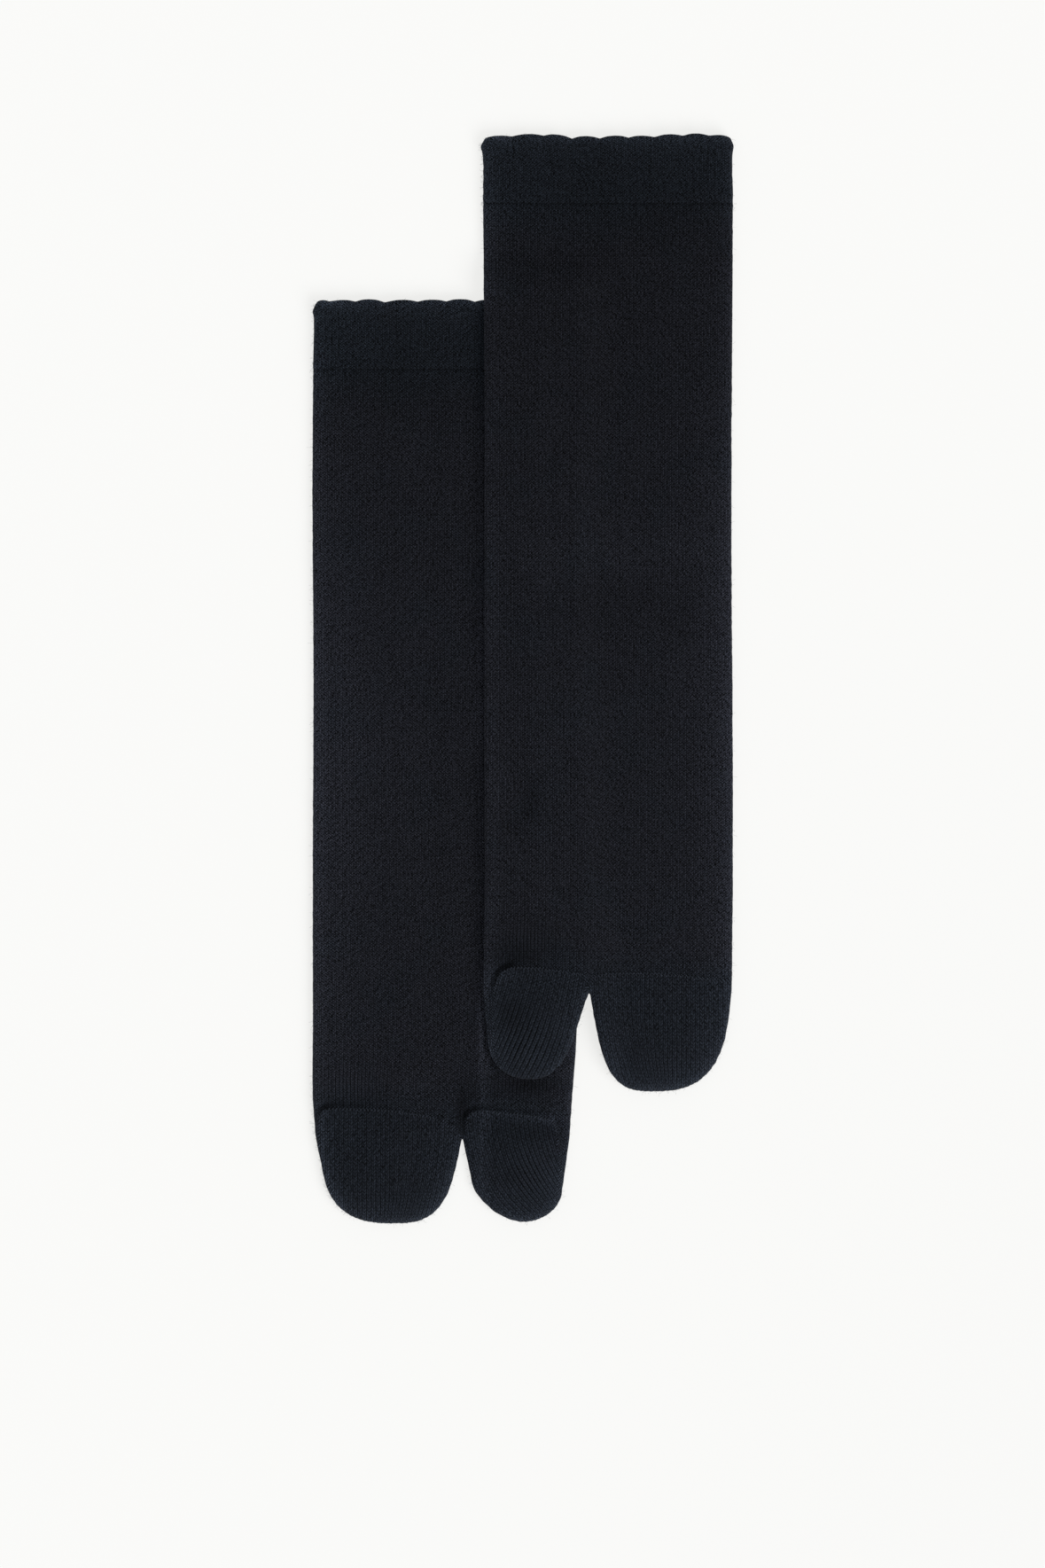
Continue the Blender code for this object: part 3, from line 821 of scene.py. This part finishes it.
class Shell:
    """The sock's closed wall: points, faces, and what the material reads at each point."""

    def __init__(self, sock):
        self.sock, self.upper_count = sock, 0
        self.data, self.faces, self.charts = np.empty((0, 15)), [], []
        shared, rows = {}, []
        for chart, (inset, rings, grid, upper) in enumerate((
                (0.0, UPPER_RINGS, UPPER, True), (0.0, UNDER_RINGS, UNDER, False),
                (WALL, INNER_RINGS, INSIDE, True), (WALL, INNER_RINGS, INSIDE, False))):
            sheet = Sheet(sock, inset, rings, grid)
            number = self._add(sheet, upper, chart, shared.get(inset))
            shared[inset] = number[:sheet.count]
            rows.append([number[place] for place in sheet.cuff_row()])
        self._close(rows)
        self.points, self.knit, self.cap, self.edge, self.outward = np.hsplit(self.data, 5)

    def _add(self, sheet, upper, chart, shared):
        """Adds a sheet's points, less those it shares with the sheet on its other face."""
        sock, level = self.sock, np.zeros(len(sheet.plan))
        across, along = sheet.plan.T
        wale = leg_wale(sock, sheet)
        pocket = beside_pockets(sock, along, across)
        points, outward = layer(sock, sheet, upper), np.column_stack([sheet.outward, level])
        if sheet.inset == 0.0 and upper:
            normals = normals_of(points * (1.0, -1.0, 1.0), sheet.faces) * (1.0, -1.0, 1.0)
            normals[:sheet.count] = outward[:sheet.count]
            points += upper_relief(sock, sheet, wale, pocket)[:, None] * normals
        elif sheet.inset == 0.0:
            points[:, 2] += under_relief(sheet)
        number = np.arange(len(points)) + len(self.data)
        first = 0
        if shared is not None:
            first = sheet.count
            number = np.concatenate([shared, number[:-first]])
        made = np.column_stack([
            points, wale, along / COURSE, pocket[0], *cap_knit(sock, along, across), along,
            painted_edge_light(sock, sheet, pocket), outward])
        self.data = np.vstack([self.data, made[first:]])
        self.upper_count = self.upper_count or len(self.data)
        faces, flat = number[sheet.faces], sheet.spread[sheet.faces]
        if upper != (sheet.inset == 0.0):
            faces, flat = faces[:, ::-1], flat[:, ::-1]
        self.faces.append(faces)
        self.charts.append((chart, flat))
        return number

    def _close(self, rows):
        """Joins the outer skin to the inner one with a turned edge that bulges past the cuff."""
        upper, under, upper_inside, under_inside = rows
        for out, inner, chart in ((upper, upper_inside, 0), (under, under_inside, 1)):
            lip, far = self.data[out], self.data[inner]
            lip[:, :3] += np.column_stack([np.interp(lip[:, 0], far[:, 0], far[:, axis])
                                           for axis in (0, 1, 2)])
            lip[:, :3] *= 0.5
            lip[:, 1] -= LIP
            number = [*range(len(self.data), len(self.data) + len(out))]
            if chart == 1:
                lip, number = lip[1:-1], [corners[0], *number[:-2], corners[1]]
            corners = number[0], number[-1]
            self.data = np.vstack([self.data, lip])
            sideways = self.data[:, 0]
            faces = np.array(zipped(out, number, sideways) + zipped(number, inner, sideways))
            self.faces.append(faces[:, ::-1] if chart else faces)
            flat = np.column_stack([sideways[faces.ravel()], np.full(faces.size, -2.0)])
            self.charts.append((chart, flat.reshape(-1, 3, 2)))


def in_world(sock, points):
    across, along, height = points.T
    return np.column_stack([sock.axis + sock.hand * across, sock.cuff - along, height]) * MM


CHART_STARTS = (0.005, 0.455, 0.765, 0.885)
CHART_WIDTHS = (0.44, 0.30, 0.11, 0.11)
CHART_SPAN, CHART_TOP, CHART_LENGTH = 102.0, 3.0, 352.0


def chart_place(chart, flat):
    """A sheet's flat places as texture places, each sheet in a strip of its own."""
    share = flat[..., 0] / CHART_SPAN + 0.5
    return np.stack([CHART_STARTS[chart] + CHART_WIDTHS[chart] * share,
                     (flat[..., 1] + CHART_TOP) / CHART_LENGTH], axis=-1)


def add_object(name, data):
    made = bpy.data.objects.new(name, data)
    bpy.context.scene.collection.objects.link(made)
    return made


def add_piece(name, points, faces, material):
    mesh = bpy.data.meshes.new(name)
    mesh.from_pydata(points.tolist(), [], faces.tolist())
    mesh.shade_smooth()
    mesh.validate()
    mesh.materials.append(material)
    return add_object(name, mesh)


def add_to_sock(sock, kind, points, faces, material):
    """A piece of a sock; the left one is mirrored, so its faces are turned about."""
    return add_piece(sock.name + kind, in_world(sock, points), faces[:, ::sock.hand], material)


def attribute(mesh, name, values):
    made = mesh.attributes.new(name, "FLOAT_VECTOR", "POINT")
    made.data.foreach_set("vector", values.astype(np.float32).ravel())


def build_shell(sock, material):
    shell = Shell(sock)
    flat = np.vstack([chart_place(chart, flat) for chart, flat in shell.charts])[:, ::sock.hand]
    piece = add_to_sock(sock, "_sock", shell.points, np.vstack(shell.faces), material)
    # The edge attribute carries the painted rim light, the painted light and shade, and the open
    # wales
    for name in ("knit", "cap", "edge"):
        attribute(piece.data, name, getattr(shell, name))
    texture_place = piece.data.uv_layers.new(name="OFBake")
    texture_place.data.foreach_set("uv", flat.astype(np.float32).ravel())
    return piece, shell


# ---------------- the yarn

def doing(operation, turned=False):
    """A method of Term that does this operation, with its two values turned about if need be."""
    def method(self, *others):
        return self.graph.math(operation, *((*others, self) if turned else (self, *others)))
    return method


class Term:
    """A number that a material works out at each place, so that its sums read as plain sums."""

    def __init__(self, graph, socket):
        self.graph, self.socket = graph, socket

    __add__, __sub__, __mul__, __truediv__, __abs__, floor = map(
        doing, ("ADD", "SUBTRACT", "MULTIPLY", "DIVIDE", "ABSOLUTE", "FLOOR"))
    __rsub__ = doing("SUBTRACT", turned=True)

    def off_middle(self):
        """How far its fraction is from a half: 0 there, 1 at a whole number."""
        return abs(self.graph.math("FRACT", self) - 0.5) * 2.0

    def sine(self):
        return self.graph.math("SINE", self * TURN)

    def cosine(self):
        return self.graph.math("COSINE", self * TURN)


class Graph:
    """A short way to write a material: each call adds a node and returns its output."""

    def __init__(self, name):
        self.material = bpy.data.materials.new(name)
        self.material.use_nodes = True
        self.tree = self.material.node_tree
        self.surface = self.tree.nodes["Principled BSDF"]

    def node(self, kind, *values, **named):
        """A new node, with values in its first sockets and in those and the settings named."""
        made = self.tree.nodes.new("ShaderNode" + kind)
        self.fill(made, **named)
        for value, socket in zip(values, made.inputs):
            self.put(value, socket)
        return made

    def term(self, kind, *values, output=0, **named):
        return Term(self, self.node(kind, *values, **named).outputs[output])

    def put(self, value, socket):
        if isinstance(value, Term):
            value = value.socket
        if isinstance(value, bpy.types.NodeSocket):
            self.tree.links.new(value, socket)
        else:
            socket.default_value = value

    def fill(self, node, **named):
        """Values into a node's sockets, with _ for a space in a name, or into its settings."""
        for name, value in named.items():
            if name.islower():
                setattr(node, name, value)
            else:
                self.put(value, node.inputs[name.replace("_", " ")])

    def math(self, operation, *values):
        return self.term("Math", *values, operation=operation)

    def mix(self, share, first, second):
        """first where share is 0, second where it is 1."""
        return self.math("MULTIPLY_ADD", share, second - first, first)

    def blend(self, share, first, second):
        """The same between two colours."""
        made = self.node("Mix", data_type="RGBA", Factor=share)
        for colour, name in ((first, "A"), (second, "B")):
            colour = (*colour, 1.0) if isinstance(colour, tuple) else colour
            self.put(colour, [s for s in made.inputs if s.name == name and s.type == "RGBA"][0])
        return [s for s in made.outputs if s.type == "RGBA"][0]

    def ramp(self, value, start, end):
        return self.term("MapRange", value, start, end, 0.0, 1.0, interpolation_type="SMOOTHSTEP")

    def place(self):
        return self.node("TexCoord").outputs["Object"]

    def noise(self, scale, detail=2.0, roughness=0.5):
        return self.term(
            "TexNoise", Vector=self.place(), Scale=scale, Detail=detail, Roughness=roughness)

    def parts(self, socket):
        return [Term(self, part) for part in self.node("SeparateXYZ", socket).outputs]

    def flecks(self, scale):
        """A number for each small lump of space, 0 to 1."""
        lumps = self.node("TexVoronoi", Vector=self.place(), Scale=scale)
        return self.parts(lumps.outputs["Color"])[0]

    def chance(self, column, row):
        """A number for each pair of whole numbers, 0 to 1."""
        cell = self.node("CombineXYZ", column, row).outputs[0]
        return self.term("TexWhiteNoise", cell, output="Value", noise_dimensions="2D")

    def dot(self, first, second):
        return self.term("VectorMath", first, second, output="Value", operation="DOT_PRODUCT")

    def attribute(self, name):
        return self.parts(self.node("Attribute", attribute_name=name).outputs["Vector"])

    def cloth(self, tint, shade, sheen, sheen_roughness):
        """Matt cloth of this tint times this shade, with a faint bluish sheen."""
        colour = self.node("VectorMath", tint, operation="SCALE", Scale=shade)
        self.fill(self.surface, Base_Color=colour.outputs[0], Roughness=CLOTH_ROUGHNESS,
                  Specular_IOR_Level=CLOTH_SPECULAR, Sheen_Weight=sheen,
                  Sheen_Roughness=sheen_roughness, Sheen_Tint=SHEEN_TINT)


KNIT_COLOUR = (0.0083, 0.0090, 0.0122)
CAP_COLOUR = (0.0073, 0.0090, 0.0124)
WELT_COLOUR = (0.0068, 0.0087, 0.0120)
LINT_COLOUR = (0.030, 0.034, 0.044)
CLOTH_ROUGHNESS, CLOTH_SPECULAR = 0.92, 0.05
SHEEN_TINT = (0.78, 0.84, 1.0, 1.0)
LEG_SLANT = 0.8              # courses that a stitch's leg rises over half a wale
RIB_COURSE = 1.15            # mm from dot to dot of the welt's rib
SWAY = 0.3                   # wales that a loop strays
# In the leg and in the toe pockets: how far all wales stand apart, and the share in a stitch's
# shade of chance, of the painted light and shade on the side that it faces, and of the tension of a
# short run of stitches
APART, BY_CHANCE, BY_FACING, BY_RUN = (0.14, 0.24), (1.45, 1.05), (0.62, 0.0), (0.20, 0.08)
BY_FLECK, BY_WALE, BY_STITCH = 0.9, 0.1, 0.1
LINE_SHADE = 0.6             # of the line under the welt
HOLE_SHADE, STITCH_LIGHT = 1.35, 0.48        # along the linked seam
WELT_FADE, CAP_FADE = (46.0, 20.0), (-14.0, 3.0)    # where one colour gives way to the next
SURFACE_DEPTH = 0.30 * MM    # of the bump


def stitches(graph, wale, course, apart):
    """Plain knitting, each stitch a V of two legs: height (0 to 1), a chance for each half of a leg
    (-0.9 to 0.9), and the gap between wales (1 in its middle), wider where they stand apart."""
    aside = wale.off_middle()
    phase = aside * LEG_SLANT + course
    leg = aside * 2.0 - 1.0
    round_leg = graph.math("SQRT", graph.math("MAXIMUM", 1.0 - leg * leg, 0.0))
    border = graph.ramp(aside, apart * -0.12 + 1.0, apart * -0.38 + 0.84)
    part = graph.math("FRACT", phase) * 2.0 - 1.0
    height = round_leg * ((1.0 - part * part) * 0.75 + 0.25) * (border * 0.45 + 0.55)
    # Each half of a leg leans away from its neighbours' shade, so that no clumps form
    number, row = (wale * 2.0).floor(), (phase * 2.0).floor()
    neighbours = graph.chance(number + 1.0, row) + graph.chance(number, row + 1.0)
    return height, graph.chance(number, row) - 0.1 - neighbours * 0.4, 1.0 - border


def knit_material():
    graph = Graph("navy_knit")
    wale, course, signed = graph.attribute("knit")
    cap_wale, cap_course, along = graph.attribute("cap")
    # Painted rim light, painted light and shade of patches and creases, and wales that stand apart
    painted_rim_light, nap, open_wales = graph.attribute("edge")
    in_cap = graph.ramp(signed, -0.15, 0.15)
    in_welt = graph.ramp(along, WELT_LENGTH + 0.3, WELT_LENGTH - 0.3)

    # Loops are never quite in line
    sway = (graph.noise(160.0) - 0.5) * SWAY
    apart = graph.math("MAXIMUM", open_wales, graph.mix(in_cap, *APART))
    leg, leg_chance, leg_gap = stitches(graph, wale + sway, course, apart)
    cap, cap_chance, cap_gap = stitches(graph, cap_wale + sway, cap_course, apart)
    # The welt's mock rib: every other wale stands up, and its floats make a dotted column
    rib_aside = (wale * 0.5).off_middle()
    dots = (course * (COURSE / RIB_COURSE)).sine() * 0.5 + 0.5
    rib = leg * 0.86 + graph.ramp(rib_aside, 0.75, 0.25) * (dots * 0.6 + 0.4) * 0.12
    height = graph.mix(in_cap, graph.mix(in_welt, leg, rib), cap)

    # Painted shade between the loops and painted light where the yarn stands up, and never twice
    # the same
    fleck = graph.flecks(3000.0)
    chance = graph.mix(in_cap, leg_chance, cap_chance)
    uneven = (fleck - 0.5) * BY_FLECK + chance * graph.mix(in_cap, *BY_CHANCE)
    # Painted light and shade: the leg's loops face the light in turn, one leg of each V and then
    # the other
    uneven += (wale + sway).sine() * course.cosine() * graph.mix(in_cap, *BY_FACING)
    # No two stitches, wales or courses are of quite one tension
    here = graph.mix(in_cap, wale, cap_wale) + sway
    column, row = here.floor(), graph.mix(in_cap, course, cap_course).floor()
    run = (row * 0.37 + column * 0.3).floor()
    for cell, share in (((column, 7.0), BY_WALE), ((column, row), BY_STITCH),
                        ((run, row), graph.mix(in_cap, *BY_RUN))):
        uneven += (graph.chance(*cell) - 0.5) * share
    uneven = uneven * (1.0 - open_wales * 0.6) + 1.0
    shade = (height * 1.1 + 0.29) * uneven * (graph.noise(28.0, 3.0, 0.55) * 0.16 + 0.92)
    # The gap between wales that stand apart is a ladder, crossed by the yarn at each course, with
    # painted shade in it
    ladder = graph.chance((here + 0.5).floor(), row + 0.5) * 0.65 + 0.34
    shade *= 1.0 - graph.mix(in_cap, leg_gap, cap_gap) * apart * ladder
    shade *= apart * apart * 0.45 + 0.96
    # Painted light on the rims, and painted light and shade in patches and creases
    shade *= (painted_rim_light * 0.85 + 1.0) * (nap + 1.0)
    # Painted shade in the line under the welt, broken by the wales
    line = graph.ramp(abs(along - (WELT_LENGTH + 0.5)), 0.8, 0.1)
    shade *= 1.0 - line * (rib_aside * 0.5 + 0.3) * LINE_SHADE
    # The dark holes of the linked seam, slanted between its stitches, and painted light on the
    # ridge between them
    hole = graph.ramp((course * 0.8 + wale).off_middle(), 0.54, 0.16)
    on_seam = graph.ramp(abs(signed - 0.15), 1.15, 0.45)
    shade *= on_seam * (STITCH_LIGHT - hole * HOLE_SHADE) + 1.0

    blotch = (graph.noise(70.0) - 0.5) * 1.1
    tint = graph.blend(graph.ramp(along, *WELT_FADE) + blotch, KNIT_COLOUR, WELT_COLOUR)
    tint = graph.blend(graph.ramp(signed, *CAP_FADE) + blotch, tint, CAP_COLOUR)
    graph.cloth(tint, shade, sheen=0.06, sheen_roughness=0.3)
    rough = (fleck * 0.2 + height * 0.75) * SURFACE_DEPTH
    bump = graph.node("Bump", Height=rough, Distance=1.0, Strength=1.0)
    graph.fill(graph.surface, Normal=bump.outputs[0])
    return graph.material


STITCH_PITCH, STITCH_LENGTH, STITCH_RADIUS = 1.26, 1.15, 0.22
STITCH_SLANT, STITCH_SUNK, STITCH_ARCH = 0.45, 0.14, 0.16
LEAST_RIDGE = 0.3            # that shows stitches
STITCH_PLACES = 6            # round a stitch, and its rings
FIBRES, FIBRE_RADIUS, FIBRE_STEPS = 2200, 0.022, 4
FIBRE_SHORTEST, FIBRE_LONGEST = 0.5, 1.5


def tubes(lines, radii, sides):
    """Closed tubes round many lines of equal point count; radii gives one radius per point."""
    lines = np.asarray(lines, float)
    count, steps = lines.shape[:2]
    ahead = unit(np.gradient(lines, axis=1))
    aside = unit(np.cross(ahead, (0.13, 0.21, 0.97)))
    other = np.cross(ahead, aside)
    turn = TURN * np.arange(sides) / sides
    ring = np.cos(turn)[:, None] * aside[:, :, None] + np.sin(turn)[:, None] * other[:, :, None]
    points = lines[:, :, None] + np.asarray(radii)[None, :, None, None] * ring
    number = np.arange(count * steps * sides).reshape(count, steps, sides)
    a, b = number[:, :-1], np.roll(number, -1, axis=2)[:, :-1]
    walls = np.stack([a, a + sides, b + sides, a, b + sides, b], -1)
    fan = np.arange(1, sides - 1)
    first, last = (np.stack([number[:, end, corner] for corner in corners], -1)
                   for end, corners in ((0, (0 * fan, fan, fan + 1)),
                                        (-1, (0 * fan, fan + 1, fan))))
    return points.reshape(-1, 3), np.vstack([part.reshape(-1, 3) for part in (walls, first, last)])


def build_linking(sock, shell, material):
    """The linked seam's stitches, each a short slanted loop of yarn sunk in the ridge."""
    tree = tree_of(shell.points[:shell.upper_count, :2])
    lines = []
    for curve in map(edge_curve, (sock.big_edge, sock.small_edge)):
        for place in np.arange(1.5, curve[-1, 4] - 1.0, STITCH_PITCH):
            along, across, ridge = (np.interp(place, curve[:, 4], values) for values in curve.T[:3])
            if ridge < LEAST_RIDGE:
                continue
            ends = []
            for share in np.linspace(-0.5, 0.5, STITCH_PLACES):
                run = share * STITCH_LENGTH
                at = (across + STITCH_SLANT * run, along + 0.3 + run)
                _, number, _ = tree.find((*at, 0.0))
                arch = STITCH_ARCH * (1.0 - (2.0 * share) ** 2)
                ends.append((*at, shell.points[number, 2] - STITCH_SUNK + arch))
            lines.append(ends)
    share = np.linspace(-1.0, 1.0, STITCH_PLACES)
    radii = STITCH_RADIUS * np.sqrt(np.maximum(1.0 - share**2, 0.06))
    return add_to_sock(sock, "_linking", *tubes(lines, radii, STITCH_PLACES), material)


def build_fuzz(sock, shell, material):
    """Loose fibres, most of them on the folds."""
    rng = np.random.default_rng(5 + sock.hand)
    upper = np.arange(shell.upper_count)
    weight = 0.12 + shell.edge[upper, 0] ** 2
    chosen = rng.choice(upper, FIBRES, replace=False, p=weight / weight.sum())
    heading = rng.normal(size=(FIBRES, 3)) + 0.5 * shell.outward[chosen]
    heading[:, 2] = np.abs(heading[:, 2]) * 0.5
    heading = unit(heading)
    curl = 0.7 * rng.normal(size=(FIBRES, 3))
    length = rng.uniform(FIBRE_SHORTEST, FIBRE_LONGEST, FIBRES)
    share = np.linspace(0.0, 1.0, FIBRE_STEPS)
    lines = shell.points[chosen][:, None] + (length[:, None] * share)[:, :, None] * heading[:, None]
    lines += (length[:, None] * share**2)[:, :, None] * 0.4 * curl[:, None]
    lines[:, :, 2] = np.maximum(lines[:, :, 2], 0.05)
    return add_to_sock(
        sock, "_fuzz", *tubes(lines, np.full(FIBRE_STEPS, FIBRE_RADIUS), 3), material)


def yarn_material(name, colour):
    graph = Graph(name)
    graph.cloth(colour, graph.noise(2200.0) * 0.9 + 0.55, sheen=0.05, sheen_roughness=0.5)
    return graph.material


# ---------------- the camera, the light, the floor

PICTURE_HEIGHT = 566.08      # of the floor, in the picture
CAMERA_HEIGHT = 4000.0
CAMERA_ALONG = -37.92
SENSOR = 36.0


def set_camera():
    data = bpy.data.cameras.new("camera")
    data.sensor_width = SENSOR
    data.lens = SENSOR * CAMERA_HEIGHT / PICTURE_HEIGHT
    data.clip_end = 20.0
    camera = add_object("camera", data)
    camera.location = (0.0, CAMERA_ALONG * MM, CAMERA_HEIGHT * MM)
    bpy.context.scene.camera = camera


WORLD_LIGHT = 0.62
SOFTBOX_PLACE, SOFTBOX_SIZE, SOFTBOX_POWER = (0.80, -0.62, 0.95), 1.0, 22.0
TABLE_HALF, TABLE_TOP = 4.0, -0.15 * MM
TABLE_COLOUR = 0.14
TABLE_LIGHT = 0.956          # leaving the table, everywhere
SOFTBOX_SHARE = 0.274        # of the softbox's light that the table sends back


def set_light():
    scene = bpy.context.scene
    scene.view_settings.view_transform = "Standard"
    world = bpy.data.worlds.new("studio")
    world.use_nodes = True
    background = world.node_tree.nodes["Background"].inputs
    background["Color"].default_value = (1.0, 1.0, 1.0, 1.0)
    background["Strength"].default_value = WORLD_LIGHT
    scene.world = world
    data = bpy.data.lights.new("softbox", "AREA")
    data.shape, data.size, data.energy = "DISK", SOFTBOX_SIZE, SOFTBOX_POWER
    softbox = add_object("softbox", data)
    softbox.location = SOFTBOX_PLACE
    softbox.rotation_mode = "QUATERNION"
    softbox.rotation_quaternion = softbox.location.to_track_quat("Z", "Y")


def lay_floor():
    """A lit table, as under a cut-out product photograph: it takes only faint shadows, and glows
    less where the softbox already lights it, so that it is evenly bright."""
    graph = Graph("paper")
    towards = graph.node("VectorMath", SOFTBOX_PLACE, graph.place(), operation="SUBTRACT")
    towards = towards.outputs[0]
    squared, facing = (graph.dot(towards, other)
                       for other in (towards, Vector(SOFTBOX_PLACE).normalized()))
    received = facing / (squared * squared) * (SOFTBOX_SHARE * SOFTBOX_PLACE[2])
    graph.fill(graph.surface, Base_Color=(TABLE_COLOUR, TABLE_COLOUR, TABLE_COLOUR, 1.0),
               Roughness=1.0, Specular_IOR_Level=0.0, Emission_Color=(1.0, 1.0, 0.982, 1.0),
               Emission_Strength=(TABLE_LIGHT - TABLE_COLOUR * WORLD_LIGHT) - received)
    corners = np.array([(x * TABLE_HALF, y * TABLE_HALF, TABLE_TOP)
                        for x, y in ((-1, -1), (1, -1), (1, 1), (-1, 1))])
    floor = add_piece("floor", corners, np.array([(0, 1, 2), (0, 2, 3)]), graph.material)


def build_sock(sock, knit, lint):
    piece, shell = build_shell(sock, knit)
    yarn = yarn_material(sock.name + "_yarn", sock.stitch)
    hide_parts(sock.node)
    extra = [build_linking(sock, shell, yarn), build_fuzz(sock, shell, lint)]
    for made in (piece, *extra):
        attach(made, "root")
    return piece, extra


def main():
    knit = knit_material()
    lint = yarn_material("lint", LINT_COLOUR)
    lay_floor()
    right, right_extra = build_sock(RIGHT_SOCK, knit, lint)
    left, left_extra = build_sock(LEFT_SOCK, knit, lint)
    set_camera()
    set_light()


main()
